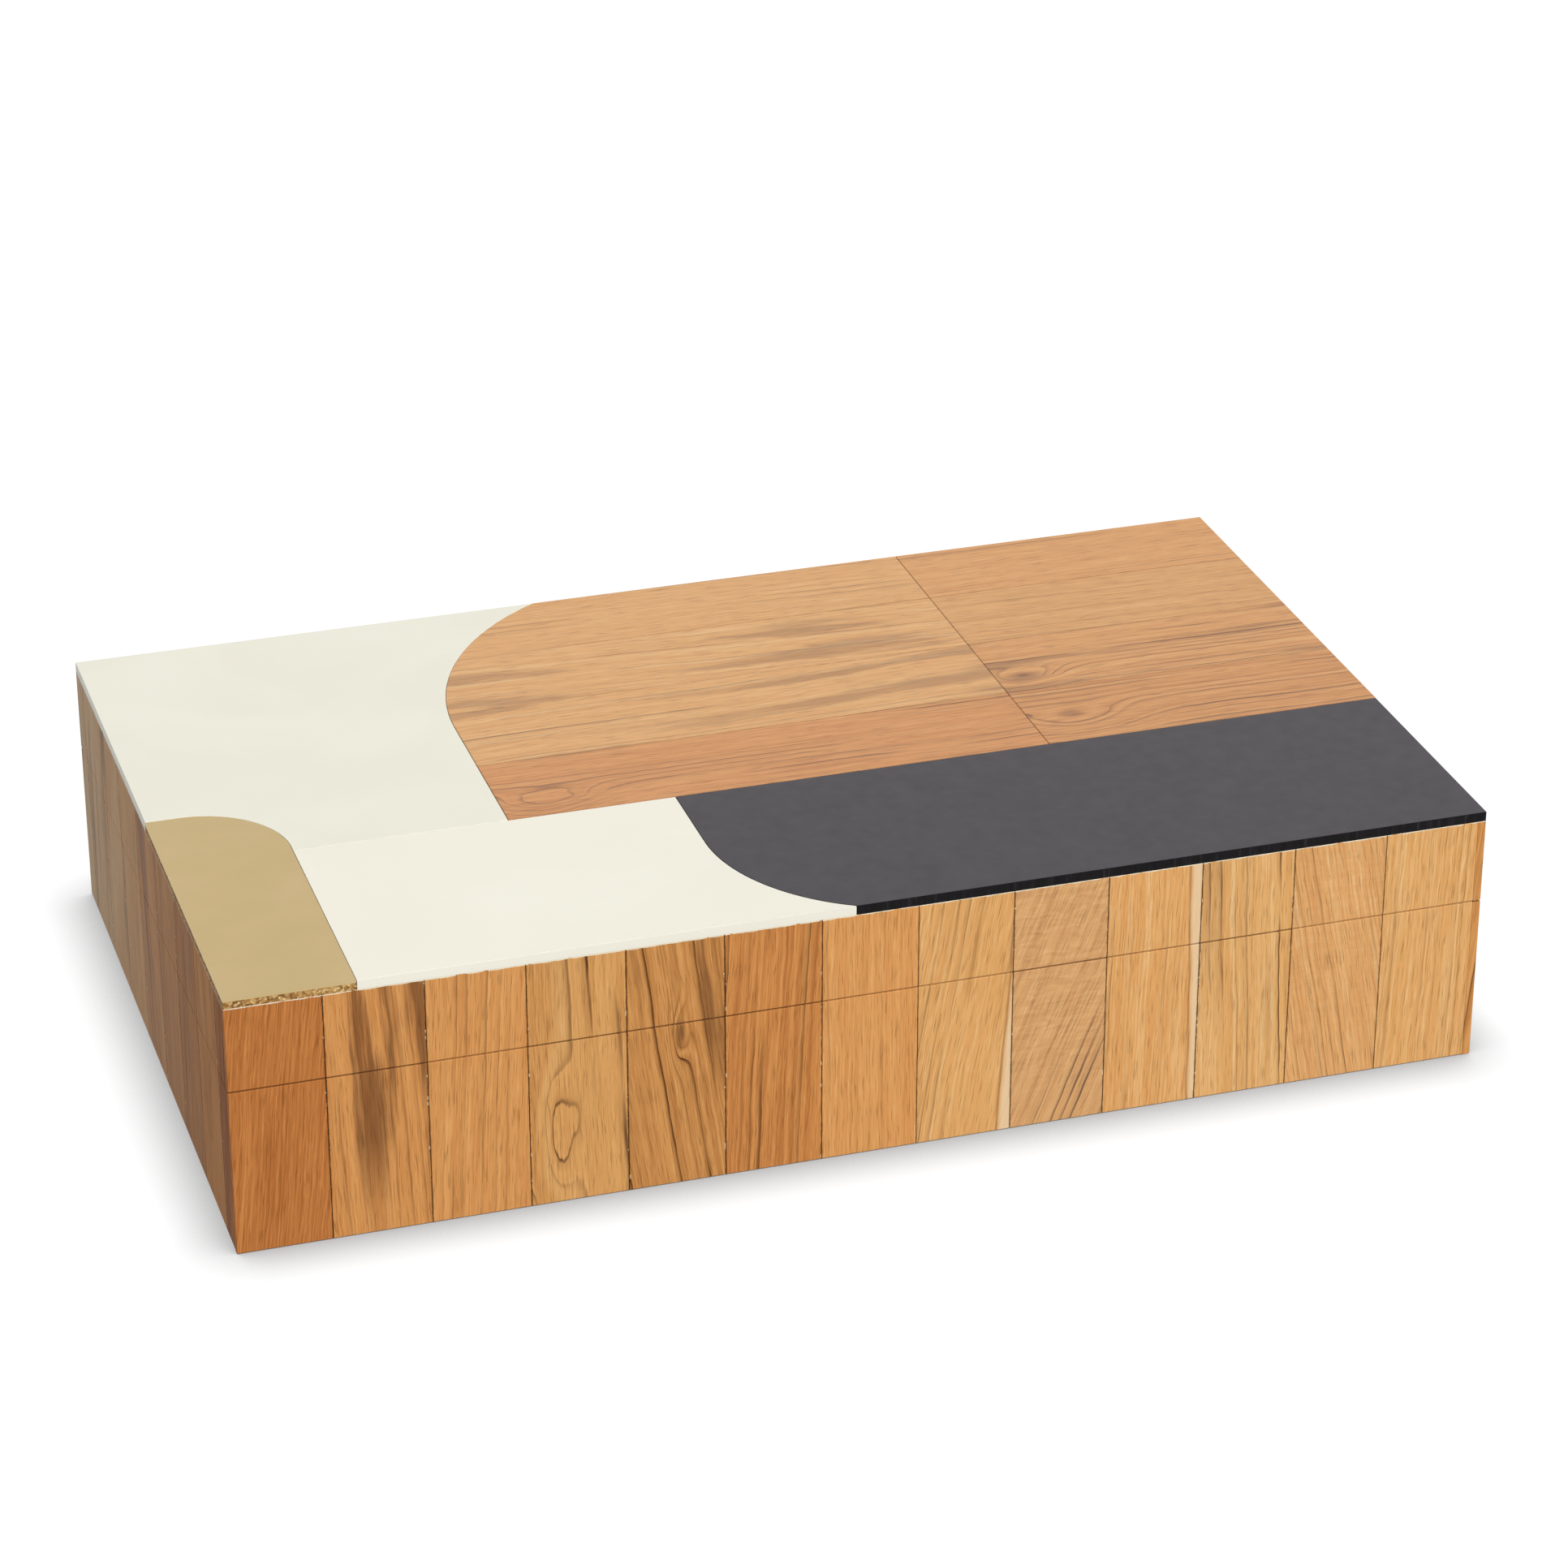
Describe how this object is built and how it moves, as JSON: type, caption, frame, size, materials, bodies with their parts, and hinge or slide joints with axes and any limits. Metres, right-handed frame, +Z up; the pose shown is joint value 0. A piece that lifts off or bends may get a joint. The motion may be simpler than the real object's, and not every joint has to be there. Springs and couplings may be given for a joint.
{
  "type": "hinged wooden box",
  "caption": "low rectangular storage box clad in teak strips, with a hinged lid inlaid in cream, black, brass and teak blocks",
  "frame": {"origin": "centre of the underside of the box", "axes": "+X right, -Y front, +Z up"},
  "size_m": [0.3, 0.1828, 0.065],
  "materials": {
    "teak": "oiled teak strips and boards, satin",
    "fibreboard": "fibreboard core, stained dark brown",
    "cream_resin": "cast cream resin slab, polished",
    "black_resin": "cast black resin slab, polished",
    "brass_sheet": "thin brass sheet, brushed and slightly tarnished",
    "chipboard": "raw chipboard packer",
    "hinge_brass": "machined brass",
    "felt": "dark brown wool felt"
  },
  "bodies": {
    "base": {"base_front_wall": "fibreboard", "base_back_wall": "fibreboard", "base_left_wall": "fibreboard", "base_right_wall": "fibreboard", "bottom_panel": "fibreboard", "base_front_strips": "teak", "base_back_strips": "teak", "base_left_strips": "teak", "base_right_strips": "teak", "left_hinge_base_leaf": "hinge_brass", "right_hinge_base_leaf": "hinge_brass", "left_hinge_pin": "hinge_brass", "right_hinge_pin": "hinge_brass", "base_hinge_screws": "hinge_brass", "floor_lining": "felt", "underside_felt": "felt"},
    "lid": {"lid_panel": "fibreboard", "lid_front_wall": "fibreboard", "lid_back_wall": "fibreboard", "lid_left_wall": "fibreboard", "lid_right_wall": "fibreboard", "lid_front_strips": "teak", "lid_back_strips": "teak", "lid_left_strips": "teak", "lid_right_strips": "teak", "cream_rear_inlay": "cream_resin", "cream_front_inlay": "cream_resin", "black_inlay": "black_resin", "brass_inlay": "brass_sheet", "brass_packer": "chipboard", "left_hinge_lid_leaf": "hinge_brass", "right_hinge_lid_leaf": "hinge_brass", "lid_hinge_screws": "hinge_brass", "teak_left_board_1": "teak", "teak_left_board_2": "teak", "teak_left_board_3": "teak", "teak_left_board_4": "teak", "teak_right_board_1": "teak", "teak_right_board_2": "teak", "teak_right_board_3": "teak", "teak_right_board_4": "teak"}
  },
  "joints": [
    {"name": "lid_hinge", "type": "hinge", "parent": "base", "child": "lid", "pos_m": [0, 0.09, 0.0416], "axis": [-1, 0, 0], "range_deg": [0, 95]}
  ]
}
